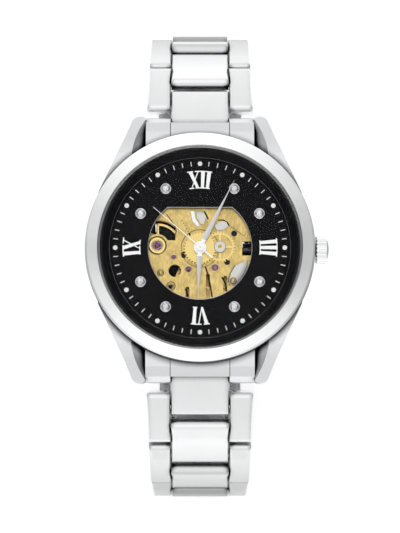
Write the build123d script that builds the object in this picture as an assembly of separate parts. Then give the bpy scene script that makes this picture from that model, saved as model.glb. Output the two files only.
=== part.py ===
from build123d import *
import os
from math import acos, atan2, cos, degrees, hypot, pi, radians, sin, sqrt, tan

# Skeleton wristwatch on a closed steel bracelet, in millimetres.
# +Z is the dial's normal, +Y points to 12 o'clock and +X to the crown at 3 o'clock.
# The origin is the middle of the clasp's flat outer face, straight under the dial's axis.
# The head is modelled with z = 0 at the case back's outer face, then raised onto the bracelet.

os.makedirs("parts", exist_ok=True)

# ---------------------------------------------------------------- driving dimensions
# Case
case_radius = 21.0
case_bottom = 1.4
case_top = 9.0
case_bore = 16.5
bezel_radius = 20.9
bezel_top = 11.0
bezel_opening = 18.55
bezel_wall_slope = 0.45
crystal_clearance = 0.05
crystal_low = 10.2
crystal_edge_top = 11.05
crystal_dome = 0.25
back_radius = 17.8
back_window = 13.0
back_lip = 0.4
back_glass_ledge = 0.7
lug_width = 20.0
lug_tip_y = 24.6
lug_tip_x = 12.4
lug_top_at_tip = 6.5
lug_bottom_at_tip = 3.5

# Bracelet
pin_pitch = 5.6
link_thickness = 2.8
link_overhang = 2.25
link_arch = 0.22
link_edge_width = 0.28
link_edge_drop = 0.4
link_end_radius = 1.15
centre_link_width = 10.7
row_gap = 0.08
end_link_gap = 0.06
bracelet_width_at_case = 19.8
bracelet_width_at_clasp = 16.0
pin_radius = 0.5
pin_recess = 0.35
hinge_clearance = 0.05
spring_bar_radius = 0.6
spring_bar_y = 23.0
spring_bar_z = 5.0
unit_slopes = [29.0, 48.0, 75.0, 112.0, 148.0, 172.0]

# Clasp
clasp_pin_z = 2.6
cover_half_length = 15.6
cover_half_width = 8.3
cover_floor = 0.9
cover_wall = 0.9
cover_height = 3.2
blade_half_width = 5.6
blade_thickness = 0.7
middle_blade_z = 1.1
inner_blade_z = 2.5
blade_hinge_y = 13.0
blade_hinge_z = 2.15
cover_hinge_z = 1.7
blade_pin_radius = 0.4
knuckle_radius = 0.9
open_pivot_gap = 0.25
button_radius = 1.0
button_y = 4.0
button_stand_out = 0.7
button_travel = 0.5

# Dial and its opening
dial_bottom = 8.4
dial_thickness = 0.4
dial_radius = 16.4
opening_radius = 9.4
opening_flat_y = 7.35
rehaut_inner_low = 16.3
rehaut_inner_high = 17.7
marker_radius = 12.5
numeral_height = 3.25
numeral_thickness = 0.16
stone_radius = 1.0
stone_height = 0.45

# Movement levels
movement_radius = 15.2
holder_clearance = 0.1
holder_low = 3.4
bridge_low = 3.1
bridge_high = 4.0
plate_low = 6.0
plate_high = 7.5
stem_z = 5.0
stem_radius = 0.6
pivot_clearance = 0.03

# Wheels: teeth and modules
barrel_teeth = 78
centre_pinion_teeth = 12
barrel_module = 0.15
centre_teeth = 80
third_pinion_teeth = 10
centre_module = 0.0989
third_teeth = 75
fourth_pinion_teeth = 10
fourth_teeth = 84
escape_pinion_teeth = 7
escape_teeth = 15
cannon_teeth = 10
minute_wheel_teeth = 30
minute_pinion_teeth = 8
hour_wheel_teeth = 32
motion_module = 0.183
winding_teeth = 15
crown_wheel_teeth = 32
ratchet_teeth = 41
winding_module = 0.2

# Wheel places, seen from the dial side
third_angle = -52.0
escape_angle = -119.0
barrel_angle = 67.3
minute_wheel_angle = 4.0
balance_x = -7.8
balance_y = 0.55
pallet_x = -4.8
pallet_y = -1.6
balance_radius = 4.4
hairspring_radius = 2.1

# Hands
hour_hand_length = 9.6
minute_hand_length = 13.8
seconds_hand_length = 11.2
seconds_tail_length = 3.0
hour_hand_angle = 182.3
minute_hand_angle = 27.0
seconds_hand_angle = 310.7
hub_radius = 0.6

# Crown
crown_radius = 2.7
crown_length = 2.5
crown_start = 21.15
crown_flutes = 22
crown_pull = 1.0

# ---------------------------------------------------------------- helpers
UP = (Align.CENTER, Align.CENTER, Align.MIN)
pin_count = 2 * len(unit_slopes)


def disc(radius, low, high, x=0.0, y=0.0):
    """An upright cylinder between two heights."""
    return Pos(x, y, low) * Cylinder(radius, high - low, align=UP)


def ring(outer, inner, low, high, x=0.0, y=0.0):
    """An upright ring between two heights."""
    return disc(outer, low, high, x, y) - disc(inner, low - 1, high + 1, x, y)


def rod(radius, x_from, x_to, y=0.0, z=0.0):
    """A round bar that lies along X."""
    bar = Cylinder(radius, x_to - x_from, align=UP)
    return Pos(x_from, y, z) * Rot(0, 90, 0) * bar


def block(x_from, x_to, y_from, y_to, z_from, z_to):
    """A box between two corners."""
    size = (x_to - x_from, y_to - y_from, z_to - z_from)
    return Pos(x_from, y_from, z_from) * Box(*size, align=(Align.MIN,) * 3)


def slab(face, low, high):
    """A flat face made into a plate between two heights."""
    return Pos(0, 0, low) * extrude(face, high - low, dir=(0, 0, 1))


def outline(points):
    """A face inside straight edges."""
    return make_face(Polyline(*points, close=True))


def turned(profile):
    """A solid turned about Z from a list of (radius, height) corners."""
    corners = [(radius, 0, height) for radius, height in profile]
    return revolve(make_face(Polyline(*corners, close=True)), Axis.Z)


def polar(radius, angle):
    """A point at a radius, its angle in degrees from +X."""
    return (radius * cos(radians(angle)), radius * sin(radians(angle)))


def clock_point(radius, angle):
    """A point at a radius, its angle in degrees clockwise from 12 o'clock."""
    return (radius * sin(radians(angle)), radius * cos(radians(angle)))


def gear_face(teeth, module, phase=0.0):
    """A wheel's toothed outline: straight-flanked teeth with backlash."""
    pitch_radius = teeth * module / 2
    tip_radius = pitch_radius + 0.85 * module
    root_radius = pitch_radius - 1.15 * module
    half_pitch = 180.0 / teeth
    points = []
    for tooth in range(teeth):
        middle = phase + 2 * half_pitch * tooth
        points.append(polar(root_radius, middle - 0.60 * half_pitch))
        points.append(polar(tip_radius, middle - 0.22 * half_pitch))
        points.append(polar(tip_radius, middle + 0.22 * half_pitch))
        points.append(polar(root_radius, middle + 0.60 * half_pitch))
    return outline(points)


def spoke_windows(hub, rim, spokes, spoke_width):
    """The windows between a wheel's spokes."""
    windows = Circle(rim) - Circle(hub)
    for index in range(spokes):
        spoke = Pos(rim / 2, 0) * Rectangle(rim + 1, spoke_width)
        windows -= Rot(0, 0, 360 / spokes * index) * spoke
    return windows


def spoked_wheel(teeth, module, low, high, hub, rim_width, spokes, spoke_width, phase=0.0):
    """A crossed-out toothed wheel."""
    rim = teeth * module / 2 - 1.15 * module - rim_width
    face = gear_face(teeth, module, phase) - spoke_windows(hub, rim, spokes, spoke_width)
    return slab(face, low, high)


def spiral_band(inner, outer, turns, thickness, low, high, steps=26):
    """A flat spring wound as a spiral."""
    count = int(turns * steps)
    inside = []
    outside = []
    for index in range(count + 1):
        share = index / count
        radius = inner + (outer - inner) * share
        inside.append(polar(radius - thickness / 2, 360 * turns * share))
        outside.append(polar(radius + thickness / 2, 360 * turns * share))
    return slab(outline(inside + outside[::-1]), low, high)


def mesh_phase(teeth_a, phase_a, teeth_b, angle):
    """The turn of wheel b that puts its gap on wheel a's tooth; a to b points along angle."""
    tooth_offset = (angle - phase_a) * teeth_a / teeth_b
    return angle + 180 + tooth_offset + 180.0 / teeth_b


def save(name, pieces, lift=0.0):
    """Write one node; separate pieces stay separate solids."""
    group = pieces if isinstance(pieces, list) else [pieces]
    solids = []
    for piece in group:
        solids.extend(piece.solids())
    lifted = [Pos(0, 0, lift) * solid for solid in solids]
    export_step(Compound(children=lifted), f"parts/{name}.step")


# ---------------------------------------------------------------- bracelet geometry
def chain_pins():
    """The pins of the 12 o'clock side in the head's frame, as (y, z)."""
    pins = [(spring_bar_y, spring_bar_z)]
    for slope in unit_slopes:
        for _ in range(2):
            y, z = pins[-1]
            pins.append((y + pin_pitch * cos(radians(slope)), z - pin_pitch * sin(radians(slope))))
    return pins


pins = chain_pins()
clasp_pin_y = pins[-1][0]
head_z = clasp_pin_z - pins[-1][1]


def half_width(pin_index):
    """The bracelet's half width where a pin crosses it."""
    share = pin_index / pin_count
    return (bracelet_width_at_case + (bracelet_width_at_clasp - bracelet_width_at_case) * share) / 2


def link_section(u, x_inner, x_outer):
    """A link's cross-section at one place along the chain, with its long edges broken."""
    half = link_thickness / 2
    return make_face(Polyline(
        (x_inner, u, half - link_edge_drop),
        (x_inner, u, link_edge_width - half),
        (x_inner + link_edge_width, u, -half),
        (x_outer - link_edge_width, u, -half),
        (x_outer, u, link_edge_width - half),
        (x_outer, u, half - link_edge_drop),
        (x_outer - link_edge_width, u, half),
        (x_inner + link_edge_width, u, half),
        close=True,
    ))


def link_piece(u_from, u_to, inner, outer_from, outer_to, rounded_from, rounded_to):
    """One link piece between two places along the chain, with rounded ends and an arched outer face."""
    body = loft([link_section(u_from, inner, outer_from), link_section(u_to, inner, outer_to)], ruled=True)
    half = link_thickness / 2
    width = max(outer_from, outer_to) - inner + 2
    side = Plane.YZ * (
        Pos((u_from + u_to) / 2, 0) * Rectangle(u_to - u_from, link_thickness)
    )
    side = extrude(side, width, dir=(1, 0, 0))
    ends = side.edges().filter_by(Axis.X).sort_by(Axis.Y)
    side = fillet(ends[:2], rounded_from)
    ends = side.edges().filter_by(Axis.X).filter_by(lambda edge: edge.center().Y > u_to - 0.01 * half)
    side = fillet(ends, rounded_to)
    arch = ThreePointArc((u_from, half - link_arch), ((u_from + u_to) / 2, half), (u_to, half - link_arch))
    walls = Polyline((u_to, half - link_arch), (u_to, -half), (u_from, -half), (u_from, half - link_arch))
    arched = extrude(Plane.YZ * make_face(arch + walls), width, dir=(1, 0, 0))
    return body & (Pos(inner - 1, 0, 0) * (side & arched))


def link_unit(index):
    """One bracelet unit: a centre link, two side links and their two pins, along +Y from u = 0."""
    first = 2 * index
    half_centre = centre_link_width / 2
    side_inner = half_centre + row_gap
    swing_end = link_thickness / 2
    overhang = swing_end if index == 0 else link_overhang
    rounding = swing_end - 0.02 if index == 0 else link_end_radius
    bar = spring_bar_radius if index == 0 else pin_radius
    centre = link_piece(
        -overhang, pin_pitch + link_overhang, -half_centre, half_centre, half_centre,
        rounding, link_end_radius,
    )
    centre -= rod(bar + hinge_clearance, -20, 20, 0, 0)
    centre -= rod(pin_radius, -20, 20, pin_pitch, 0)
    start = pin_pitch - link_overhang
    end = 2 * pin_pitch + link_overhang
    slope = (half_width(first + 2) - half_width(first + 1)) / pin_pitch
    outer_start = half_width(first + 1) - slope * link_overhang
    outer_end = half_width(first + 2) + slope * link_overhang
    side = link_piece(start, end, side_inner, outer_start, outer_end, link_end_radius, link_end_radius)
    side -= rod(pin_radius, -20, 20, pin_pitch, 0)
    side -= rod(pin_radius, -20, 20, 2 * pin_pitch, 0)
    fixed_reach = half_width(first + 1) - pin_recess
    hinge_reach = half_width(first + 2) - pin_recess
    fixed_pin = rod(pin_radius, -fixed_reach, fixed_reach, pin_pitch, 0)
    hinge_pin = rod(pin_radius, -hinge_reach, hinge_reach, 2 * pin_pitch, 0)
    return [centre, side, side.mirror(Plane.YZ), fixed_pin, hinge_pin]


def save_bracelet():
    """The units of both halves, each laid at its slope around the wrist."""
    for index, slope in enumerate(unit_slopes):
        y, z = pins[2 * index]
        place = Pos(0, y, z) * Rot(-slope, 0, 0)
        unit = [place * piece for piece in link_unit(index)]
        save(f"bracelet_12_unit_{index + 1}", unit, head_z)
        turned_unit = [Rot(0, 0, 180) * piece for piece in unit]
        save(f"bracelet_6_unit_{index + 1}", turned_unit, head_z)


def end_link():
    """The end link between the 12 o'clock lugs, hollow under its middle for the first link."""
    half = lug_width / 2 - end_link_gap
    y, z = spring_bar_y, spring_bar_z
    round_end = 1.5
    top = Polyline((y - 5, z + 3.3), (y - 1.4, z + 2.75), (y + 0.4, z + 2.0), (y + 1.1, z + 1.0))
    nose = ThreePointArc((y + 1.1, z + 1.0), (y + round_end, z), (y, z - round_end))
    bottom = Polyline((y, z - round_end), (y - 5, z - 2.2), (y - 5, z + 3.3))
    profile = Plane.YZ * make_face(top + nose + bottom)
    body = Pos(-half, 0, 0) * extrude(profile, 2 * half, dir=(1, 0, 0))
    body -= disc(case_radius + end_link_gap, -1, 12)
    body -= ring(bezel_radius + 3, bezel_radius - 1, case_top - 0.02, 12)
    slot = centre_link_width / 2 + row_gap
    body -= rod(link_thickness / 2 + 0.25, -slot, slot, y, z)
    body -= block(-slot, slot, y + 0.4, y + 4, z - 4, z + 4)
    body -= block(-slot, slot, y - 1.65, y + 4, z - 4, z)
    body -= rod(spring_bar_radius + 0.02, -half - 1, half + 1, y, z)
    groove = block(slot - 0.06, slot + 0.06, y - 5, y + 0.4, z + 1.9, z + 5)
    return body - groove - groove.mirror(Plane.YZ)


# ---------------------------------------------------------------- case
def lug_facet():
    """The wedge taken off a lug's inner top edge, from beside the bezel out to the tip."""
    inner = lug_width / 2
    tip = Vector(inner + 0.15, lug_tip_y - 0.2, lug_top_at_tip + 0.5)
    outer_root = Vector(inner + 2.2, 17.0, case_top - 0.15)
    inner_root = Vector(inner, 17.0, case_top - 1.55)
    normal = (inner_root - tip).cross(outer_root - tip)
    plane = Plane(origin=tip, x_dir=outer_root - tip, z_dir=normal)
    wedge = plane * Box(40, 40, 6, align=(Align.CENTER, Align.CENTER, Align.MIN))
    wedge = wedge & (Pos(inner + 2, 20, case_top) * Box(6, 14, 12))
    return wedge - disc(case_radius, 0, case_top + 6)


def lug():
    """The lug at the upper right, drawn in plan and cut to its side profile."""
    inner = lug_width / 2
    tip = ThreePointArc((inner, lug_tip_y - 0.35), (inner + 1.0, lug_tip_y), (lug_tip_x, lug_tip_y - 0.75))
    flank = Polyline((lug_tip_x, lug_tip_y - 0.75), (13.7, 20.6), (18.6, 10.1), (17.0, 7.0), (inner, 14.0))
    close = Line((inner, 14.0), (inner, lug_tip_y - 0.35))
    body = slab(make_face(tip + flank + close), case_bottom, case_top)
    top = ThreePointArc((10.0, case_top), (19.6, case_top - 0.45), (lug_tip_y + 0.2, lug_top_at_tip))
    underside = Polyline(
        (lug_tip_y + 0.2, lug_top_at_tip), (lug_tip_y + 0.2, lug_bottom_at_tip),
        (20.0, 2.0), (16.0, case_bottom), (5.0, case_bottom), (5.0, case_top), (10.0, case_top),
    )
    side = Plane.YZ * make_face(top + underside)
    return (body & extrude(side, 22, dir=(1, 0, 0))) - lug_facet()


def mid_case():
    """The case middle with four lugs, spring-bar holes and the crown's hole."""
    body = turned([
        (0, case_bottom), (case_radius - 0.6, case_bottom), (case_radius, case_bottom + 0.6),
        (case_radius, case_top), (0, case_top),
    ])
    corner = lug()
    for piece in (corner, corner.mirror(Plane.YZ)):
        body += piece
        body += piece.mirror(Plane.XZ)
    body -= disc(case_bore, case_bottom - 1, case_top + 1)
    for side in (1, -1):
        reach = lug_width / 2 + 1.2
        body -= rod(spring_bar_radius + 0.02, -reach, reach, side * spring_bar_y, spring_bar_z)
    return body - rod(1.0, case_bore - 2, case_radius + 2, 0, stem_z)


def bezel():
    """The flat-topped bezel ring that holds the crystal."""
    return turned([
        (case_bore + 1.75, case_top),
        (bezel_radius, case_top),
        (bezel_radius, bezel_top - 0.35),
        (bezel_radius - 0.35, bezel_top),
        (bezel_opening + 0.12, bezel_top),
        (bezel_opening, bezel_top - 0.12),
        (bezel_opening, crystal_low - 0.1),
        (case_bore + 1.75, crystal_low - 0.1),
    ])


def crystal():
    """The front crystal, gently domed."""
    radius = bezel_opening - crystal_clearance
    top = crystal_edge_top + crystal_dome
    ball = (radius ** 2 + crystal_dome ** 2) / (2 * crystal_dome)
    return disc(radius, crystal_low, top) & (Pos(0, 0, top - ball) * Sphere(ball))


def rehaut():
    """The sloped ring between dial and crystal, with a small step at its top."""
    low = dial_bottom + dial_thickness
    high = crystal_low - 0.1
    step = high - 0.45
    body = disc(case_bore + 1.7, case_top, high) + disc(case_bore - 0.05, low, case_top + 0.01)
    slope = Cone(rehaut_inner_low, rehaut_inner_high - 0.35, step - low, align=UP)
    flare = Cone(rehaut_inner_high - 0.35, rehaut_inner_high + 0.1, high - step, align=UP)
    return body - (Pos(0, 0, low) * slope) - (Pos(0, 0, step) * flare)


def case_back():
    """The screw-in back ring, with six key notches."""
    body = turned([
        (back_window, 0.0),
        (back_radius - 0.6, 0.0),
        (back_radius, 0.6),
        (back_radius, case_bottom),
        (case_bore - 0.05, case_bottom),
        (case_bore - 0.05, case_bottom + 1.0),
        (case_bore - 1.1, case_bottom + 1.0),
        (case_bore - 1.1, case_bottom),
        (back_window + back_glass_ledge, case_bottom),
        (back_window + back_glass_ledge, back_lip),
        (back_window, back_lip),
    ])
    for index in range(6):
        notch = Pos(back_radius - 1.0, 0, 0) * Box(1.6, 2.4, 0.7)
        body -= Rot(0, 0, 60 * index + 30) * notch
    return body


def crown():
    """The fluted crown, hollow over its tube."""
    end = crown_start + crown_length
    body = rod(crown_radius, crown_start, end, 0, stem_z)
    outer_rim = body.edges().filter_by(GeomType.CIRCLE).sort_by(Axis.X)
    body = fillet(outer_rim[-1:], 0.55)
    outer_rim = body.edges().filter_by(GeomType.CIRCLE).sort_by(Axis.X)
    body = chamfer(outer_rim[:1], 0.3)
    for index in range(crown_flutes):
        angle = 360 / crown_flutes * index
        y, z = polar(crown_radius + 0.08, angle)
        body -= rod(0.24, crown_start - 1, end - 0.6, y, stem_z + z)
    body -= rod(1.15, crown_start - 1, crown_start + 0.9, 0, stem_z)
    body -= rod(stem_radius, crown_start, crown_start + 1.5, 0, stem_z)
    return body


def save_case():
    """Everything of the case, with the end links and spring bars."""
    save("mid_case", mid_case(), head_z)
    save("bezel", bezel(), head_z)
    save("crystal", crystal(), head_z)
    save("rehaut_ring", rehaut(), head_z)
    save("case_back", case_back(), head_z)
    glass_radius = back_window + back_glass_ledge - crystal_clearance
    save("back_glass", disc(glass_radius, back_lip, case_bottom - 0.1), head_z)
    tube = rod(1.0, case_bore + 0.1, crown_start + 0.55, 0, stem_z)
    tube -= rod(stem_radius + 0.08, case_bore - 1, crown_start + 2, 0, stem_z)
    save("crown_tube", tube, head_z)
    link = end_link()
    save("end_links", [link, link.mirror(Plane.XZ)], head_z)
    reach = lug_width / 2 + 1.1
    bars = [rod(spring_bar_radius, -reach, reach, side * spring_bar_y, spring_bar_z) for side in (1, -1)]
    save("spring_bars", bars, head_z)


# ---------------------------------------------------------------- dial
def opening_face(grow=0.0):
    """The dial's round opening, flat at its top."""
    keep = Pos(0, opening_flat_y + grow - 20) * Rectangle(60, 40)
    return Circle(opening_radius + grow) & keep


def fan_stroke(start, end, width_start, width_end):
    """A numeral's stroke; a point is (tangential offset at the marker circle, radius)."""
    corners = []
    for offset, radius, side in (
        (start[0] - width_start / 2, start[1], 0), (start[0] + width_start / 2, start[1], 0),
        (end[0] + width_end / 2, end[1], 0), (end[0] - width_end / 2, end[1], 0),
    ):
        corners.append(clock_point(radius, degrees(offset / marker_radius)))
    return outline(corners)


def numeral(letters, spacing):
    """A serif numeral of I, V and X strokes, its feet towards the dial's middle."""
    low = marker_radius - numeral_height / 2
    high = marker_radius + numeral_height / 2
    thick, thin, serif = 0.62, 0.2, 0.2
    widths = {"I": 0.9, "V": 1.9, "X": 1.9}
    total = sum(widths[letter] for letter in letters) + spacing * (len(letters) - 1)
    face = None
    left = -total / 2
    for letter in letters:
        width = widths[letter]
        middle = left + width / 2
        half = width / 2
        if letter == "I":
            strokes = [fan_stroke((middle, low), (middle, high), thick, thick)]
            feet = [(middle, low), (middle, high)]
        elif letter == "V":
            strokes = [
                fan_stroke((middle + 0.12, low), (middle - half + 0.35, high), 0.4, thick),
                fan_stroke((middle + 0.12, low), (middle + half - 0.2, high), 0.2, thin),
            ]
            feet = [(middle - half + 0.35, high), (middle + half - 0.2, high)]
        else:
            strokes = [
                fan_stroke((middle + half - 0.35, low), (middle - half + 0.35, high), thick, thick),
                fan_stroke((middle - half + 0.2, low), (middle + half - 0.2, high), thin, thin),
            ]
            feet = [
                (middle - half + 0.3, low), (middle + half - 0.35, low),
                (middle - half + 0.35, high), (middle + half - 0.3, high),
            ]
        for foot, radius in feet:
            inward = radius < marker_radius
            near = radius if inward else radius - serif
            strokes.append(fan_stroke((foot, near), (foot, near + serif), 0.98, 0.98))
        for stroke in strokes:
            face = stroke if face is None else face + stroke
        left += width + spacing
    return face


def save_dial():
    """The dial, its applied numerals and its stones."""
    top = dial_bottom + dial_thickness
    dial = disc(dial_radius, dial_bottom, top) - slab(opening_face(), dial_bottom - 1, top + 1)
    rim = [edge for edge in dial.edges() if edge.center().Z > top - 0.01]
    inner_rim = [edge for edge in rim if (edge @ 0.5).X ** 2 + (edge @ 0.5).Y ** 2 < 100]
    dial = chamfer(inner_rim, 0.15)
    save("dial", dial, head_z)
    numerals = []
    for letters, angle in (("XII", 0), ("III", 90), ("VI", 180), ("IX", 270)):
        face = numeral(letters, 0.12)
        numerals.append(Rot(0, 0, -angle) * slab(face, top, top + numeral_thickness))
    save("hour_numerals", numerals, head_z)
    stones = []
    for hour in (1, 2, 4, 5, 7, 8, 10, 11):
        x, y = clock_point(marker_radius, 30 * hour)
        stone = disc(stone_radius, top, top + stone_height, x, y)
        rim = stone.edges().filter_by(GeomType.CIRCLE).sort_by(Axis.Z)[-1:]
        stones.append(chamfer(rim, 0.25, 0.45))
    save("hour_stones", stones, head_z)


# ---------------------------------------------------------------- movement
barrel_distance = barrel_module * (barrel_teeth + centre_pinion_teeth) / 2
barrel_x, barrel_y = polar(barrel_distance, barrel_angle)
third_distance = centre_module * (centre_teeth + third_pinion_teeth) / 2
third_x, third_y = polar(third_distance, third_angle)
third_module = 2 * third_distance / (third_teeth + fourth_pinion_teeth)
escape_distance = 4.35
escape_module = 2 * escape_distance / (fourth_teeth + escape_pinion_teeth)
escape_x, escape_y = polar(escape_distance, escape_angle)
minute_distance = motion_module * (cannon_teeth + minute_wheel_teeth) / 2
minute_x, minute_y = polar(minute_distance, minute_wheel_angle)
winding_distance = winding_module * (crown_wheel_teeth + ratchet_teeth) / 2
crown_wheel_y = 0.0
crown_wheel_x = barrel_x + sqrt(winding_distance ** 2 - (barrel_y - crown_wheel_y) ** 2)
winding_angle = degrees(atan2(crown_wheel_y - barrel_y, crown_wheel_x - barrel_x))
click_angle = 135.0
click_reach = ratchet_teeth * winding_module / 2 + 1.5
click_x = barrel_x + click_reach * cos(radians(click_angle))
click_y = barrel_y + click_reach * sin(radians(click_angle))
stem_channel = 1.75
post_radius = 0.5

screw_places = [
    (-9.6, 9.6), (-12.2, -6.6), (0.0, -13.0), (10.2, -8.6), (12.6, 6.0), (4.2, 13.2), (-4.6, 12.4),
]
plate_screw_places = [(6.25, 2.75), (-7.2, -4.5), (-5.3, -6.9), (4.95, -2.5), (6.1, -5.7)]


def movement_outline(clearance=0.0):
    """The plate's round outline."""
    return Circle(movement_radius - clearance)


def mainplate():
    """The gilt plate under the dial, pierced to show the train and the balance."""
    body = slab(movement_outline(), plate_low, plate_high)
    recess = motion_module * (hour_wheel_teeth + 2) / 2 + 0.35
    body -= disc(recess, plate_high - 0.12, plate_high + 1)
    body -= disc(0.8, plate_low - 1, plate_high + 1)
    window = Pos(balance_x, balance_y) * (Circle(4.7) - Circle(2.1))
    window &= Pos(-9.2, 4.6) * Rectangle(9.4, 6.2)
    body -= slab(window, plate_low - 1, plate_high + 1)
    body -= disc(1.15, plate_low - 1, plate_high + 1, -4.6, -4.1)
    for x, y_low, y_high in ((-2.3, -9.2, -7.0), (1.45, -9.0, -4.6), (4.6, -7.9, -5.0)):
        slot = Pos(x, (y_low + y_high) / 2) * SlotOverall(y_high - y_low, 0.7, 90)
        body -= slab(slot, plate_low - 1, plate_high + 1)
    body -= block(7.4, 15.5, -stem_channel, stem_channel, plate_low - 1, plate_high - 0.5)
    body -= block(7.7, 10.7, -1.3, 1.3, plate_low - 1, plate_high + 1)
    for x, y, hole in pivots():
        body -= disc(hole, plate_low - 1, plate_high + 1, x, y)
    for x, y in plate_screw_places:
        body -= disc(0.55, plate_high - 0.3, plate_high + 1, x, y)
    for x, y in screw_places:
        body += disc(0.9, bridge_high, plate_low, x, y)
    bearing = block(11.4, 15.0, -1.5, 1.5, bridge_high + 0.02, plate_high - 0.5)
    bearing -= rod(stem_radius + 0.05, 10, 16, 0, stem_z)
    pilot = block(6.55, 7.25, -0.9, 0.9, bridge_high + 0.1, plate_low)
    pilot -= rod(0.38, 6, 8, 0, stem_z)
    body = body + bearing + pilot
    return body & disc(movement_radius, 0, 12)


def pivots():
    """Where jewels sit in the mainplate: x, y and the jewel's radius."""
    return [
        (third_x, third_y, 0.6), (escape_x, escape_y, 0.55), (pallet_x, pallet_y, 0.45),
        (balance_x, balance_y, 0.9), (-3.0, -1.0, 0.42),
    ]


def bridge_holes(body, holes):
    """A bridge with its bearing holes."""
    for x, y, hole in holes:
        body -= disc(hole, bridge_low - 1, bridge_high + 1, x, y)
    return body


def bridge_region(points):
    """A bridge's outline: a polygon kept inside the movement's edge."""
    return outline(points) & Circle(movement_radius - 0.3)


def winding_recess():
    """The room for ratchet wheel and crown wheel in the back of the bridges."""
    ratchet_room = ratchet_teeth * winding_module / 2 + 0.35
    crown_room = crown_wheel_teeth * winding_module / 2 + 0.35
    top = bridge_low + 0.45
    room = disc(ratchet_room, bridge_low - 1, top, barrel_x, barrel_y)
    return room + disc(crown_room, bridge_low - 1, top, crown_wheel_x, crown_wheel_y)


def barrel_bridge():
    """The bridge over barrel and winding wheels, with their recesses."""
    region = bridge_region([(-9.0, 17), (-6.2, 6.0), (-1.6, 1.75), (17, 1.75), (17, 17)])
    body = slab(region, bridge_low, bridge_high)
    body -= winding_recess()
    click_room = Pos(click_x, click_y) * Circle(1.2)
    click_room += Pos((click_x + barrel_x) / 2, (click_y + barrel_y) / 2) * (
        Rot(0, 0, click_angle) * Rectangle(click_reach, 2.6))
    body -= slab(click_room, bridge_low - 1, bridge_low + 0.45)
    body -= block(7.4, 11.3, 0, stem_channel, bridge_low - 1, bridge_high + 1)
    return bridge_holes(body, [(barrel_x, barrel_y, 0.75)])


def train_bridge():
    """The bridge over the train, which also carries the rotor's post."""
    region = bridge_region([(-3.6, -17), (-5.2, -6.4), (-1.9, 1.6), (7.2, 1.6), (7.2, -1.85), (17, -1.85), (17, -17)])
    body = slab(region, bridge_low, bridge_high)
    body -= winding_recess()
    holes = [
        (0, 0, 0.3), (third_x, third_y, 0.35), (escape_x, escape_y, 0.35),
        (crown_wheel_x, crown_wheel_y, 0.45),
    ]
    return bridge_holes(body, holes)


def balance_cock():
    """The cock over the balance, reaching in from the movement's edge."""
    arm = outline([(-15.5, -2.8), (-11.0, -2.2), (-6.6, -0.6), (-6.4, 1.8), (-10.5, 4.2), (-15.5, 5.6)])
    region = arm & Circle(movement_radius - 0.3)
    body = slab(region, bridge_low, bridge_high)
    foot = slab(region & (Pos(-14.6, 1.4) * Rectangle(2.6, 9)), bridge_low, plate_low)
    return (body + foot) - disc(0.5, bridge_low - 1, bridge_high + 1, balance_x, balance_y)


def pallet_bridge():
    """The small bridge over the pallet fork: two arms, each on a foot."""
    lever_angle = degrees(atan2(balance_y - pallet_y, balance_x - pallet_x))
    body = disc(0.55, 4.95, 5.15)
    for turn in (-45, 45):
        x, y = polar(1.7, lever_angle + turn)
        arm = Pos(x / 2, y / 2) * Rot(0, 0, lever_angle + turn) * SlotOverall(2.7, 1.0)
        body += slab(arm, 4.95, 5.15)
        body += disc(0.35, 5.14, plate_low, x, y)
    return Pos(pallet_x, pallet_y, 0) * (body - disc(0.2, 4, 6))


def jewel(x, y, outer, bore, low, high):
    """A ring jewel."""
    return ring(outer, bore, low, high, x, y)


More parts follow.
